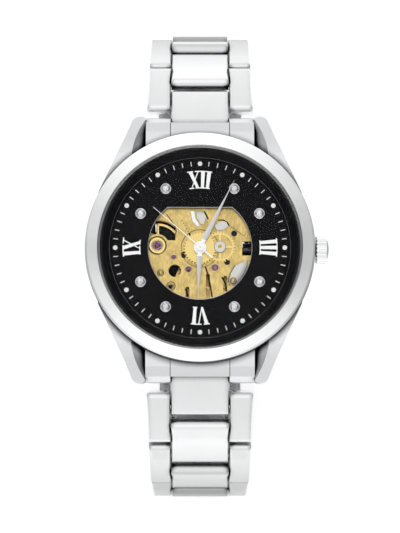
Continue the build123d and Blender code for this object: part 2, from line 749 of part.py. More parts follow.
def save_train():
    """The going train from the barrel to the balance."""
    centre_phase = 0.0
    # Barrel: toothed drum with lid, its arbor turning with the ratchet wheel.
    barrel_phase = mesh_phase(centre_pinion_teeth, centre_phase, barrel_teeth, barrel_angle)
    drum = disc(5.5, 4.72, 5.5)
    drum += slab(gear_face(barrel_teeth, barrel_module, barrel_phase), 5.22, 5.5)
    drum -= ring(5.2, 0.9, 4.86, 5.36)
    drum -= disc(0.9, 4, 6)
    save("barrel_drum", Pos(barrel_x, barrel_y, 0) * drum, head_z)
    spring = spiral_band(1.35, 5.0, 6.0, 0.16, 4.9, 5.32)
    save("mainspring", Pos(barrel_x, barrel_y, 0) * spring, head_z)
    # Centre wheel: pinion at the barrel, wheel above it, tube up to the cannon pinion.
    centre = spoked_wheel(centre_teeth, centre_module, 5.65, 5.83, 0.75, 0.35, 5, 0.35)
    centre += slab(gear_face(centre_pinion_teeth, barrel_module, centre_phase), 5.2, 5.66)
    centre += disc(0.3, 5.2, 8.9)
    centre -= disc(0.2, 3, 10)
    save("center_wheel", centre, head_z)
    # Third wheel.
    third_phase = mesh_phase(centre_teeth, 0.0, third_pinion_teeth, third_angle)
    third_wheel_phase = third_phase
    third = spoked_wheel(third_teeth, third_module, 4.4, 4.56, 0.6, 0.32, 5, 0.3, third_wheel_phase)
    third += slab(gear_face(third_pinion_teeth, centre_module, third_phase), 5.55, 5.92)
    third += disc(0.22, 4.05, 5.95)
    third += disc(0.1, 3.5, 6.9)
    save("third_wheel", Pos(third_x, third_y, 0) * third, head_z)
    # Fourth wheel on the centre axis, carrying the seconds hand.
    fourth_phase = mesh_phase(third_teeth, third_wheel_phase, fourth_pinion_teeth, third_angle + 180)
    fourth = spoked_wheel(fourth_teeth, escape_module, 4.12, 4.26, 0.6, 0.3, 5, 0.28, fourth_phase)
    fourth += slab(gear_face(fourth_pinion_teeth, third_module, fourth_phase), 4.25, 4.62)
    fourth += disc(0.14, 3.5, 9.95)
    save("fourth_wheel", fourth, head_z)
    # Escape wheel: fifteen long hooked teeth.
    escape_phase = mesh_phase(fourth_teeth, fourth_phase, escape_pinion_teeth, escape_angle)
    points = []
    for tooth in range(escape_teeth):
        angle = 360 / escape_teeth * tooth
        points += [polar(1.35, angle), polar(2.0, angle + 5), polar(1.95, angle + 8), polar(1.35, angle + 14)]
    escape_face = outline(points) - spoke_windows(0.45, 1.1, 4, 0.22)
    escape = slab(escape_face, 5.3, 5.44)
    escape += slab(gear_face(escape_pinion_teeth, escape_module, escape_phase), 4.08, 4.4)
    escape += disc(0.13, 4.05, 5.95)
    escape += disc(0.07, 3.5, 6.9)
    save("escape_wheel", Pos(escape_x, escape_y, 0) * escape, head_z)


def save_escapement():
    """Pallet fork, balance and hairspring."""
    to_balance = degrees(atan2(balance_y - pallet_y, balance_x - pallet_x))
    reach = hypot(balance_x - pallet_x, balance_y - pallet_y)
    lever = Pos(reach / 2 - 0.7, 0) * Rectangle(reach - 1.2, 0.26)
    horn = Pos(reach - 1.1, 0) * (Rectangle(0.7, 0.8) - Pos(0.2, 0) * Rectangle(0.7, 0.4))
    arms = Rot(0, 0, 90) * Rectangle(2.2, 0.26)
    stones = Pos(-0.35, 1.0) * Rectangle(0.6, 0.2) + Pos(-0.35, -1.0) * Rectangle(0.6, 0.2)
    fork = slab(lever + horn + arms + stones + Circle(0.3), 5.3, 5.46)
    fork += disc(0.12, 5.2, 5.95)
    fork += disc(0.07, 4.97, 6.9)
    save("pallet_fork", Pos(pallet_x, pallet_y, 0) * Rot(0, 0, to_balance) * fork, head_z)
    rim = ring(balance_radius, balance_radius - 0.4, 4.4, 4.8)
    arms = slab(Rectangle(2 * balance_radius - 0.4, 0.5) + Rectangle(0.5, 2 * balance_radius - 0.4), 4.5, 4.65)
    arms = arms & disc(balance_radius - 0.1, 4, 6)
    wheel = rim + arms + disc(0.3, 4.12, 5.6) + disc(0.45, 5.0, 5.2)
    wheel += disc(0.09, 3.5, 6.9)
    place = Pos(balance_x, balance_y, 0)
    save("balance_wheel", place * wheel, head_z)
    spring = spiral_band(0.55, hairspring_radius, 9.0, 0.06, 4.16, 4.3, 20)
    save("hairspring", place * spring, head_z)


def save_motion_works():
    """Cannon pinion, minute wheel, hour wheel and the three hands."""
    cannon_phase = minute_hand_angle
    cannon = slab(gear_face(cannon_teeth, motion_module, cannon_phase), 7.45, 7.85)
    cannon += disc(0.46, 7.45, 9.62)
    cannon -= disc(0.33, 7, 8.95)
    cannon -= disc(0.2, 8, 12)
    save("cannon_pinion", cannon, head_z)
    minute_phase = mesh_phase(cannon_teeth, cannon_phase, minute_wheel_teeth, minute_wheel_angle)
    minute = spoked_wheel(minute_wheel_teeth, motion_module, 7.56, 7.76, 1.1, 0.3, 4, 0.4, minute_phase)
    minute += slab(gear_face(minute_pinion_teeth, motion_module, minute_phase), 7.75, 8.2)
    minute -= disc(0.3, 7, 9)
    save("minute_wheel", Pos(minute_x, minute_y, 0) * minute, head_z)
    hour_phase = mesh_phase(minute_pinion_teeth, minute_phase, hour_wheel_teeth, minute_wheel_angle + 180)
    hour = slab(gear_face(hour_wheel_teeth, motion_module, hour_phase), 7.95, 8.15)
    hour += disc(0.75, 7.95, 9.2)
    hour -= disc(0.5, 7, 10)
    save("hour_wheel", hour, head_z)
    save("hour_hand", hand(hour_hand_length, 1.9, 1.05, 9.02, 9.16, 0.75, hour_hand_angle, 1.15), head_z)
    save("minute_hand", hand(minute_hand_length, 2.4, 1.0, 9.38, 9.52, 0.46, minute_hand_angle, 0.85), head_z)
    seconds = outline([
        (-0.16, -seconds_tail_length), (0.16, -seconds_tail_length), (0.1, 0),
        (0.04, seconds_hand_length), (-0.04, seconds_hand_length), (-0.1, 0),
    ])
    seconds += Circle(hub_radius)
    body = slab(seconds, 9.78, 9.9) - disc(0.14, 9, 11)
    save("seconds_hand", Rot(0, 0, -seconds_hand_angle) * body, head_z)


def hand(length, belly_at, belly_width, low, high, bore, angle, hub):
    """A faceted lance-shaped hand, pressed on its tube."""
    half = belly_width / 2
    blade = outline([
        (0.22, 0), (half, belly_at), (0.09, 0.78 * length), (0.02, length),
        (-0.02, length), (-0.09, 0.78 * length), (-half, belly_at), (-0.22, 0),
    ])
    ridge = slab(blade + Circle(hub), low, high)
    slopes = outline([(0, high), (2, high - 0.55), (2, high + 1), (-2, high + 1), (-2, high - 0.55)])
    slopes = Pos(0, 1.6, 0) * extrude(Plane.XZ * slopes, length, dir=(0, 1, 0))
    return Rot(0, 0, -angle) * ((ridge - slopes) - disc(bore, low - 1, high + 1))


def save_winding():
    """Stem, sliding pinion, winding pinion, crown wheel, ratchet wheel and click."""
    square = 0.42
    stem = rod(0.33, 6.6, 7.45, 0, stem_z)
    stem += block(7.4, 9.4, -square, square, stem_z - square, stem_z + square)
    stem += rod(stem_radius, 9.35, crown_start + 1.5, 0, stem_z)
    save("winding_stem", stem, head_z)
    save("crown", crown(), head_z)

    def pinion(teeth, module, x_from, x_to, phase):
        """A small toothed wheel that lies on the stem."""
        wheel = slab(gear_face(teeth, module, phase), 0, x_to - x_from)
        return Pos(x_from, 0, stem_z) * Rot(0, 90, 0) * wheel

    sliding = pinion(14, 0.155, 7.85, 8.95, 0)
    sliding -= block(7, 10, -square - 0.04, square + 0.04, stem_z - square - 0.04, stem_z + square + 0.04)
    save("sliding_pinion", sliding, head_z)
    winding = pinion(winding_teeth, 0.185, 9.05, 10.1, 0)
    winding -= rod(stem_radius + 0.04, 8, 12, 0, stem_z)
    save("winding_pinion", winding, head_z)
    low, high = bridge_low + 0.02, bridge_low + 0.34
    wheel = spoked_wheel(crown_wheel_teeth, winding_module, low, high, 1.2, 0.6, 6, 0.5)
    wheel += disc(0.4, low, bridge_high)
    save("crown_wheel", Pos(crown_wheel_x, crown_wheel_y, 0) * wheel, head_z)
    phase = mesh_phase(crown_wheel_teeth, 0.0, ratchet_teeth, winding_angle + 180)
    ratchet = slab(gear_face(ratchet_teeth, winding_module, phase), low, high)
    ratchet += disc(0.7, low, 5.6)
    ratchet += disc(0.3, 5.5, 6.0)
    ratchet -= disc(0.55, low - 1, low + 0.12)
    ratchet += disc(0.5, low, low + 0.12)
    save("ratchet_wheel", Pos(barrel_x, barrel_y, 0) * ratchet, head_z)
    to_barrel = click_angle + 180
    nose = outline([(0, -0.45), (1.25, -0.1), (1.25, 0.1), (0, 0.45)])
    click = slab(Circle(0.7) + nose, low, high) - disc(0.3, 0, 9)
    save("click", Pos(click_x, click_y, 0) * Rot(0, 0, to_barrel) * click, head_z)


def save_plates():
    """Plates, bridges, jewels, screws, holder and rotor."""
    save("mainplate", mainplate(), head_z)
    save("barrel_bridge", barrel_bridge(), head_z)
    post = ring(0.9, 0.35, 2.2, bridge_low) + ring(1.35, 0.35, bridge_low - 0.3, bridge_low)
    save("train_bridge", [train_bridge(), post], head_z)
    save("balance_cock", balance_cock(), head_z)
    save("pallet_bridge", pallet_bridge(), head_z)
    jewels = []
    bores = [0.1, 0.07, 0.07, 0.09]
    for (x, y, hole), bore in zip(pivots(), bores):
        jewels.append(jewel(x, y, hole, bore + pivot_clearance, plate_high - 0.45, plate_high))
    for x, y, outer, bore in (
        (third_x, third_y, 0.35, 0.1), (escape_x, escape_y, 0.35, 0.07),
        (balance_x, balance_y, 0.5, 0.09), (0, 0, 0.3, 0.14),
    ):
        jewels.append(jewel(x, y, outer, bore + pivot_clearance, bridge_low + 0.3, bridge_high - 0.1))
    save("train_jewels", jewels, head_z)
    screws = []
    for x, y in screw_places:
        screw = disc(0.75, bridge_low - 0.12, bridge_low, x, y)
        screws.append(screw - Pos(x, y, bridge_low - 0.12) * Rot(0, 0, 20 * x) * Box(2, 0.2, 0.12))
    for x, y in plate_screw_places:
        screw = disc(0.53, plate_high - 0.3, plate_high + 0.02, x, y)
        screws.append(screw - Pos(x, y, plate_high) * Rot(0, 0, 33 * x) * Box(2, 0.16, 0.24))
    save("movement_screws", screws, head_z)
    holder = turned([
        (movement_radius + holder_clearance, holder_low),
        (case_bore - 0.02, holder_low),
        (case_bore - 0.02, dial_bottom),
        (movement_radius - 0.5, dial_bottom),
        (movement_radius - 0.5, plate_high + 0.01),
        (movement_radius + holder_clearance, plate_high + 0.01),
    ])
    save("movement_holder", holder - rod(1.0, 12, 20, 0, stem_z), head_z)
    plate = Circle(12.0) - Circle(1.0)
    plate &= Pos(0, -10) * Rectangle(40, 20) + Circle(2.6)
    swing = slab(plate, 2.3, 2.62)
    for angle in (-135, -90, -45):
        x, y = polar(7.0, angle)
        swing -= slab(Pos(x, y) * Rot(0, 0, angle) * SlotOverall(5.6, 3.0), 2, 3)
    weight = ring(14.3, 11.6, 1.75, 2.75) & block(-15, 15, -15, -0.4, 0, 9)
    save("rotor", swing + weight, head_z)


# ---------------------------------------------------------------- clasp
def clasp_cover():
    """The outer cover: a channel that rests flat, with a tongue to the open pivot."""
    body = block(-cover_half_width, cover_half_width, -cover_half_length, cover_half_length, 0, cover_height)
    uprights = body.edges().filter_by(Axis.Z)
    body = fillet(uprights, 1.2)
    room = cover_half_width - cover_wall
    body -= block(-room, room, -cover_half_length - 1, cover_half_length + 1, cover_floor, cover_height + 1)
    tongue_end = -(clasp_pin_y - pin_radius - open_pivot_gap)
    half = centre_link_width / 2 - row_gap
    body += block(-half, half, tongue_end, -cover_half_length + 1.4, 0.3, clasp_pin_z + 0.8)
    body -= rod(blade_pin_radius, -20, 20, blade_hinge_y, cover_hinge_z)
    body -= rod(button_radius + 0.08, -20, 20, button_y, 2.0)
    pin = rod(blade_pin_radius, -cover_half_width + 0.1, cover_half_width - 0.1, blade_hinge_y, cover_hinge_z)
    return [body, pin]


def middle_blade():
    """The blade between the cover's hinge and the inner blade's hinge."""
    low, high = middle_blade_z, middle_blade_z + blade_thickness
    tongue = 2.8
    body = block(-blade_half_width, blade_half_width, -blade_hinge_y + 1.2, blade_hinge_y - 0.4, low, high)
    body -= block(-1.6, 1.6, -7.0, 7.0, low - 1, high + 1)
    body += block(-tongue, tongue, -blade_hinge_y, -blade_hinge_y + 2, low, high)
    body += rod(knuckle_radius, -tongue, tongue, -blade_hinge_y, blade_hinge_z)
    body -= rod(blade_pin_radius + hinge_clearance, -20, 20, -blade_hinge_y, blade_hinge_z)
    body += rod(0.7, -blade_half_width, blade_half_width, blade_hinge_y, cover_hinge_z)
    body -= rod(blade_pin_radius + hinge_clearance, -20, 20, blade_hinge_y, cover_hinge_z)
    return body


def inner_blade():
    """The blade next to the wrist, hinged on the last 12 o'clock unit."""
    low, high = inner_blade_z, inner_blade_z + blade_thickness
    body = block(-blade_half_width, blade_half_width, -blade_hinge_y, clasp_pin_y - 2.6, low, high)
    body -= block(-1.6, 1.6, -8.0, 8.0, low - 1, high + 1)
    tongue = 2.9
    body -= block(-tongue, tongue, -blade_hinge_y - 2, -blade_hinge_y + 1.1, 0, 9)
    for side in (1, -1):
        ear = sorted((side * tongue, side * blade_half_width))
        body += rod(knuckle_radius, ear[0], ear[1], -blade_hinge_y, blade_hinge_z)
    half = centre_link_width / 2 - row_gap
    body += block(-half, half, clasp_pin_y - 2.8, clasp_pin_y, low, high)
    body += rod(1.3, -half, half, clasp_pin_y, clasp_pin_z)
    body -= rod(pin_radius + hinge_clearance, -20, 20, clasp_pin_y, clasp_pin_z)
    body -= rod(blade_pin_radius, -20, 20, -blade_hinge_y, blade_hinge_z)
    pin = rod(blade_pin_radius, -blade_half_width + 0.1, blade_half_width - 0.1, -blade_hinge_y, blade_hinge_z)
    return [body, pin]


def save_clasp():
    """The fold-over clasp, closed."""
    save("clasp_cover", clasp_cover())
    save("clasp_middle_blade", middle_blade())
    save("clasp_inner_blade", inner_blade())
    outer = cover_half_width + button_stand_out
    inner = cover_half_width - cover_wall - 0.7
    button = rod(button_radius, inner, outer, button_y, 2.0)
    button = chamfer(button.edges().filter_by(GeomType.CIRCLE).sort_by(Axis.X)[-1:], 0.2)
    save("clasp_button_right", button)
    save("clasp_button_left", button.mirror(Plane.YZ))


save_case()
save_dial()
save_train()
save_escapement()
save_motion_works()
save_winding()
save_plates()
save_bracelet()
save_clasp()
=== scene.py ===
from math import asin, cos, degrees, pi, radians, sin

import bmesh
import bpy
from bpy.props import FloatProperty, FloatVectorProperty, IntProperty, PointerProperty
from mathutils import Matrix, Vector


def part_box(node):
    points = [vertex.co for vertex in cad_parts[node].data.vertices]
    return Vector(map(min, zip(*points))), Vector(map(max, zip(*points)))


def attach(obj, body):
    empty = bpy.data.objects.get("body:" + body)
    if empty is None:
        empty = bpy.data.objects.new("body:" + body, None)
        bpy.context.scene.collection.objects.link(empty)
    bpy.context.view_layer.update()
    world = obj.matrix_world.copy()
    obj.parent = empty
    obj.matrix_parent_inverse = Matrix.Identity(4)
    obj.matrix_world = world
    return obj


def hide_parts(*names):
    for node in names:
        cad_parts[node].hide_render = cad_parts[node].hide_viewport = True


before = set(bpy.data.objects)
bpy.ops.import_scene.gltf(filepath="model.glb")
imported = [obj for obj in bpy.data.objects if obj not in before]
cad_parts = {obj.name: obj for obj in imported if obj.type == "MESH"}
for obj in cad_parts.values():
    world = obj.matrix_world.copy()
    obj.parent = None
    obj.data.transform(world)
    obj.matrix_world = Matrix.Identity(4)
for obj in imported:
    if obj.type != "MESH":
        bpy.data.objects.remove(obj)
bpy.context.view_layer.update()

bl_info = {
    "name": "Skeleton wristwatch",
    "version": (1, 0, 0),
    "blender": (4, 5, 0),
    "location": "View3D > Sidebar > Watch",
    "description": "Finishes and fine parts of a skeleton wristwatch around its packed frame",
    "category": "Object",
}

MM = 0.001
HEAD = "head"
WHITE = (1.0, 1.0, 1.0, 1.0)
# Dark end of the steel tints: grain and smears of wear lean towards it, and so does painted shade in gaps and
# low on the bracelet.
GRAIN_WEAR_AND_PAINTED_SHADE_DARK = (0.012, 0.012, 0.013)
FULL_TURN = 2 * pi


# ------------------------------------------------------------------ places read from the frame
def low(node):
    """A node's lowest corner."""
    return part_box(node)[0]


def high(node):
    """A node's highest corner."""
    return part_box(node)[1]


def middle(node):
    """The middle of a node's box."""
    return (low(node) + high(node)) / 2


DIAL_TOP = high("dial").z
PLATE_TOP = high("mainplate").z
BEZEL_TOP = high("bezel").z
BALANCE = middle("balance_wheel")
THIRD = middle("third_wheel")
ESCAPE = middle("escape_wheel")


# ------------------------------------------------------------------ sizes and colours a user may change
class WatchSizes(bpy.types.PropertyGroup):
    """Sizes of the fine parts that are added to the frame."""

    dot_radius: FloatProperty(
        name="Hour dot radius", description="Radius of each printed hour dot",
        default=0.43 * MM, unit="LENGTH",
    )
    track_radius: FloatProperty(
        name="Minute track radius", description="Radius of the circle of dots and strokes",
        default=15.45 * MM, unit="LENGTH",
    )
    stroke_length: FloatProperty(
        name="Minute stroke length", description="Radial length of each minute stroke",
        default=0.85 * MM, unit="LENGTH",
    )
    stroke_width: FloatProperty(
        name="Minute stroke width", description="Width of each minute stroke",
        default=0.13 * MM, unit="LENGTH",
    )
    print_height: FloatProperty(
        name="Print height", description="How far the printing stands above the dial",
        default=0.025 * MM, unit="LENGTH",
    )
    marker_radius: FloatProperty(
        name="Stone circle radius", description="Radius of the circle of stones",
        default=12.5 * MM, unit="LENGTH",
    )
    stone_radius: FloatProperty(
        name="Stone radius", description="Radius of each cut stone",
        default=0.86 * MM, unit="LENGTH",
    )
    stone_facets: IntProperty(
        name="Stone facets", description="Facets around each cut stone", default=8, min=6, max=16,
    )
    opening_radius: FloatProperty(
        name="Opening radius", description="Radius of the dial's round opening",
        default=9.4 * MM, unit="LENGTH",
    )
    opening_flat: FloatProperty(
        name="Opening flat", description="Distance from the dial's middle to the opening's flat top",
        default=7.35 * MM, unit="LENGTH",
    )
    camera_distance: FloatProperty(
        name="Camera distance", description="From the camera to the bezel's plane",
        default=0.402, unit="LENGTH",
    )
    camera_tilt: FloatProperty(
        name="Camera tilt", description="Angle between the view and the dial's normal",
        default=radians(6.2), subtype="ANGLE",
    )


class WatchColours(bpy.types.PropertyGroup):
    """Base colours of the finishes."""

    steel: FloatVectorProperty(
        name="Steel", description="Colour of the case and bracelet steel",
        default=(0.80, 0.81, 0.83), size=3, subtype="COLOR", min=0, max=1,
    )
    bright_steel: FloatVectorProperty(
        name="Bright steel", description="Colour of the bezel and the polished small parts",
        default=(0.90, 0.905, 0.91), size=3, subtype="COLOR", min=0, max=1,
    )
    lacquer: FloatVectorProperty(
        name="Lacquer", description="Colour of the dial and its ring",
        default=(0.004, 0.004, 0.005), size=3, subtype="COLOR", min=0, max=1,
    )
    gilt: FloatVectorProperty(
        name="Gilt", description="Colour of the plate and the bridges",
        default=(0.95, 0.71, 0.27), size=3, subtype="COLOR", min=0, max=1,
    )
    ruby: FloatVectorProperty(
        name="Ruby", description="Colour of the bearing jewels",
        default=(0.20, 0.012, 0.11), size=3, subtype="COLOR", min=0, max=1,
    )
    blued: FloatVectorProperty(
        name="Blued steel", description="Colour of the heat-blued screws",
        default=(0.035, 0.045, 0.085), size=3, subtype="COLOR", min=0, max=1,
    )


# ------------------------------------------------------------------ shader maths
class Wire:
    """A shader socket that does maths with Python's own operators."""

    def __init__(self, tree, socket):
        self.tree = tree
        self.socket = socket

    @staticmethod
    def join(tree, operation, *values):
        node = tree.nodes.new("ShaderNodeMath")
        node.operation = operation
        for slot, value in enumerate(values):
            plug(tree, node.inputs[slot], value)
        return Wire(tree, node.outputs[0])

    def maths(self, operation, *values):
        return self.join(self.tree, operation, self, *values)

    def __add__(self, other):
        return self.maths("ADD", other)

    __radd__ = __add__

    def __mul__(self, other):
        return self.maths("MULTIPLY", other)

    __rmul__ = __mul__

    def __sub__(self, other):
        return self.maths("SUBTRACT", other)

    def __rsub__(self, other):
        return self.join(self.tree, "SUBTRACT", other, self)

    def __truediv__(self, other):
        return self.maths("DIVIDE", other)

    def __rtruediv__(self, other):
        return self.join(self.tree, "DIVIDE", other, self)

    def __pow__(self, other):
        return self.maths("POWER", other)

    def __rpow__(self, other):
        return self.join(self.tree, "POWER", other, self)


def plug(tree, socket, value):
    """Put a number, a colour or a wire into a socket."""
    if isinstance(value, Wire):
        tree.links.new(value.socket, socket)
    else:
        socket.default_value = value


class Nodes:
    """A node tree, and the one way in which nodes are added to it."""

    def __init__(self, tree):
        self.tree = tree

    def node(self, kind, settings=None, inputs=None, output=0):
        """One node: its settings first, then its sockets."""
        node = self.tree.nodes.new(kind)
        for key, value in (settings or {}).items():
            setattr(node, key, value)
        for key, value in (inputs or {}).items():
            plug(self.tree, node.inputs[key], value)
        return Wire(self.tree, node.outputs[output])

    def parts(self, vector):
        """A vector's three numbers, as wires."""
        first = self.node("ShaderNodeSeparateXYZ", inputs={0: vector})
        return tuple(Wire(self.tree, socket) for socket in first.socket.node.outputs)


class Finish(Nodes):
    """A material, built up from its Principled shader."""

    def __init__(self, name, colour, metallic, roughness, **fixed):
        self.material = bpy.data.materials.new(name)
        self.material.use_nodes = True
        super().__init__(self.material.node_tree)
        self.shader = next(node for node in self.tree.nodes if node.type == "BSDF_PRINCIPLED")
        self.feed("Base Color", (*colour, 1.0))
        self.feed("Metallic", metallic)
        self.feed("Roughness", roughness)
        for title, value in fixed.items():
            self.feed(title.replace("_", " "), value)

    def feed(self, title, value):
        plug(self.tree, self.shader.inputs[title], value)

    def place(self):
        """The point in the object's own metres, as three wires."""
        return self.parts(self.node("ShaderNodeTexCoord", output="Object"))

    def vector(self, x, y, z):
        return self.node("ShaderNodeCombineXYZ", inputs={0: x, 1: y, 2: z})

    def noise(self, vector, scale=1.0, detail=3.0, roughness=0.55):
        inputs = {"Vector": vector, "Scale": scale, "Detail": detail, "Roughness": roughness}
        return self.node("ShaderNodeTexNoise", inputs=inputs)

    def clamp(self, value):
        return self.node("ShaderNodeClamp", inputs={0: value})

    def ramp(self, value, start, end, first, last):
        """From first to last as the value goes from start to end."""
        return self.node("ShaderNodeMapRange", inputs={0: value, 1: start, 2: end, 3: first, 4: last})

    def painted_recess_shade(self, reach=1.4 * MM, depth=1.3):
        """Painted shade from ambient occlusion: one in the open, falling to nothing down in a gap."""
        open_share = self.node(
            "ShaderNodeAmbientOcclusion", settings={"samples": 8}, inputs={"Distance": reach}, output="AO",
        )
        return self.clamp(open_share * (1.0 + depth) - depth)

    def bump(self, height, strength, distance, soften=0.0):
        """Relief from a height; soften rounds the shading of the edges by a radius."""
        inputs = {"Height": height, "Strength": strength, "Distance": distance}
        if soften:
            inputs["Normal"] = self.node(
                "ShaderNodeBevel", settings={"samples": 6}, inputs={"Radius": soften},
            )
        self.feed("Normal", self.node("ShaderNodeBump", inputs=inputs))

    def tint(self, factor, dark, light):
        """Base colour between two colours."""
        mixed = self.node(
            "ShaderNodeMix", settings={"data_type": "RGBA"},
            inputs={0: factor, 6: (*dark, 1.0), 7: (*light, 1.0)}, output=2,
        )
        self.feed("Base Color", mixed)


def shade(colour, share):
    """A colour made darker or lighter."""
    return tuple(min(1.0, channel * share) for channel in colour)


def from_axis(x, y):
    """Distance from the dial's upright axis."""
    return (x * x + y * y) ** 0.5


def brushed(name, colour, along, roughness=0.26, depth=0.35, contrast=0.08):
    """Straight-brushed metal with painted shade in its gaps and recesses; along is the grain's direction, X, Y
    or Z.
    """
    finish = Finish(name, colour, 1.0, roughness)
    x, y, z = finish.place()
    across_grain, along_grain = 5200.0, 130.0
    scales = [along_grain if axis == along else across_grain for axis in "XYZ"]
    grain = finish.noise(finish.vector(x * scales[0], y * scales[1], z * scales[2]), detail=2.0)
    cloud = finish.noise(finish.vector(x, y, z), scale=240.0)
    finish.feed("Roughness", grain * 0.16 + (roughness - 0.08) + cloud * 0.06)
    swing = contrast * 1.6
    # Painted shade: ambient occlusion darkens the colour in gaps and recesses, and the grain streaks it.
    light = finish.painted_recess_shade() * (grain * swing + (1 - swing))
    finish.tint(light, GRAIN_WEAR_AND_PAINTED_SHADE_DARK, shade(colour, 1 + contrast * 0.6))
    finish.bump(grain, depth, 0.012 * MM)
    return finish.material


def turned_metal(name, colour, roughness=0.2, contrast=0.05, depth=0.3):
    """Metal with rings of grain round the dial's axis."""
    finish = Finish(name, colour, 1.0, roughness)
    x, y, z = finish.place()
    radius = from_axis(x, y)
    grain = finish.noise(finish.vector(radius * 6000.0, x * 60.0, y * 60.0), detail=2.0)
    finish.feed("Roughness", grain * 0.14 + (roughness - 0.07))
    finish.tint(grain, shade(colour, 1 - contrast), shade(colour, 1 + contrast * 0.5))
    finish.bump(grain, depth, 0.008 * MM)
    return finish.material


def sunburst(name, colour, roughness=0.24):
    """Steel brushed outwards from the dial's middle, with a painted highlight in a fan: light towards 12 and
    6, dark at the sides and more so towards 3 o'clock.
    """
    finish = Finish(name, colour, 1.0, roughness)
    x, y, z = finish.place()
    radius = from_axis(x, y)
    angle = y.maths("ARCTAN2", x)
    grain = finish.noise(finish.vector(angle * 160.0, radius * 260.0, z * 260.0), detail=3.0)
    broad = finish.noise(finish.vector(angle * 2.2, radius * 40.0, 0.3), detail=1.0)
    # Painted highlight and shade: lighter at 12 and 6, darker at 3 and 9 and more so on the right, with random
    # broad tone and grain on top.
    painted_fan_and_grain = (y * y) / (radius * radius)
    painted_fan_and_grain = painted_fan_and_grain ** 0.7 - x * 7.0 + (broad - 0.5) * 0.35 + (grain - 0.5) * 0.18
    finish.tint(finish.clamp(painted_fan_and_grain), shade(colour, 0.56), shade(colour, 1.1))
    finish.feed("Roughness", grain * 0.12 + (roughness - 0.06))
    finish.bump(grain, 0.25, 0.008 * MM)
    return finish.material


def foiled_stone(name):
    """Clear cut stone with a bright foil behind it, and painted glints: random facet-sized patches of white
    and grey.
    """
    finish = Finish(name, (0.95, 0.96, 1.0), 0.85, 0.06, Coat_Roughness=0.02, Coat_Weight=1.0)
    x, y, z = finish.place()
    painted_glints = finish.node(
        "ShaderNodeTexVoronoi", inputs={"Vector": finish.vector(x, y, z), "Scale": 2600.0},
    )
    # Painted glints: the Voronoi cells colour some patches white and others grey.
    finish.tint(painted_glints, (1.0, 1.0, 1.0), (0.45, 0.47, 0.52))
    finish.feed("Roughness", painted_glints * 0.1 + 0.03)
    return finish.material


def worn_polish(finish, x, y, z, roughness):
    """Set the roughness of polish with smears and hairlines, and give both patterns back."""
    smear = finish.noise(finish.vector(x, y, z), scale=320.0, detail=4.0)
    hair = finish.noise(finish.vector(x * 900.0, y * 7000.0, z * 900.0), detail=2.0)
    finish.feed("Roughness", smear * 0.07 + hair * 0.03 + (roughness - 0.05))
    return smear, hair


def polished(name, colour, roughness=0.09, contrast=0.03):
    """Polished metal with the faint smears and hairlines of wear."""
    finish = Finish(name, colour, 1.0, roughness)
    smear, hair = worn_polish(finish, *finish.place(), roughness)
    finish.tint(smear, shade(colour, 1 - contrast), shade(colour, 1 + contrast))
    finish.bump(hair, 0.05, 0.004 * MM)
    return finish.material


def link_steel(name, colour, roughness):
    """Polished bracelet steel: softly crowned tops, painted shade in the gaps, and painted shade darkening it
    down towards the clasp in place of dark reflections.
    """
    finish = Finish(name, colour, 1.0, roughness)
    x, y, z = finish.place()
    smear, hair = worn_polish(finish, x, y, z, roughness)
    # Painted shade: the base colour falls from full at 40 mm height to half at 26 mm and below, standing for
    # dark reflections on the lower bracelet; the gaps get painted shade too.
    painted_low_shade = finish.ramp(z, 26.0 * MM, 40.0 * MM, 0.5, 1.0)
    finish.tint(finish.painted_recess_shade() * (smear * 0.06 + 0.94) * painted_low_shade, GRAIN_WEAR_AND_PAINTED_SHADE_DARK, shade(colour, 1.05))
    finish.bump(hair, 0.05, 0.004 * MM, soften=1.1 * MM)
    return finish.material


def lacquered(name, colour):
    """Deep gloss lacquer with the faintest orange peel."""
    finish = Finish(
        name, colour, 0.0, 0.12, Coat_Roughness=0.05, Coat_IOR=1.2, Specular_IOR_Level=0.04,
    )
    x, y, z = finish.place()
    peel = finish.noise(finish.vector(x, y, z), scale=900.0, detail=2.0)
    finish.feed("Coat Weight", 0.3)
    finish.feed("Roughness", peel * 0.08 + 0.16)
    finish.bump(peel, 0.04, 0.01 * MM)
    return finish.material


def gilt_plate(name, colour):
    """Gilt brass with overlapping rows of fine ground circles and a soft grain."""
    finish = Finish(name, colour, 1.0, 0.3)
    x, y, z = finish.place()
    pitch = 0.9 * MM
    circles = None
    for shift in (0.0, 0.5):
        u = (x / pitch + shift).maths("FRACT") - 0.5
        v = (y / pitch + shift).maths("FRACT") - 0.5
        ground = (u * u + v * v) ** 0.5
        rings = (ground * 40.0).maths("SINE") * 0.5 + 0.5
        circles = rings if circles is None else (circles + rings) * 0.5
    speck = finish.noise(finish.vector(x * 2600.0, y * 900.0, z * 900.0), detail=5.0, roughness=0.7)
    cloud = finish.noise(finish.vector(x, y, z), scale=420.0, detail=4.0)
    mix = (speck * 0.6 + circles * 0.15 + cloud * 0.45) * 2.6 - 0.95
    finish.tint(finish.clamp(mix), shade(colour, 0.36), shade(colour, 1.05))
    finish.feed("Roughness", speck * 0.2 + 0.22)
    finish.bump(circles * 0.5 + speck, 0.35, 0.01 * MM)
    return finish.material


def striped_steel(name, colour):
    """Steel with broad waves of grain, as on a finished rotor."""
    finish = Finish(name, colour, 1.0, 0.28)
    x, y, z = finish.place()
    wave = ((x - y * 0.2) * 1900.0).maths("SINE") * 0.5 + 0.5
    grain = finish.noise(finish.vector(x * 5000.0, y * 200.0, z * 200.0))
    finish.tint(wave, shade(colour, 0.8), shade(colour, 1.1))
    finish.feed("Roughness", grain * 0.12 + wave * 0.08 + 0.16)
    finish.bump(wave + grain * 0.2, 0.25, 0.02 * MM)
    return finish.material


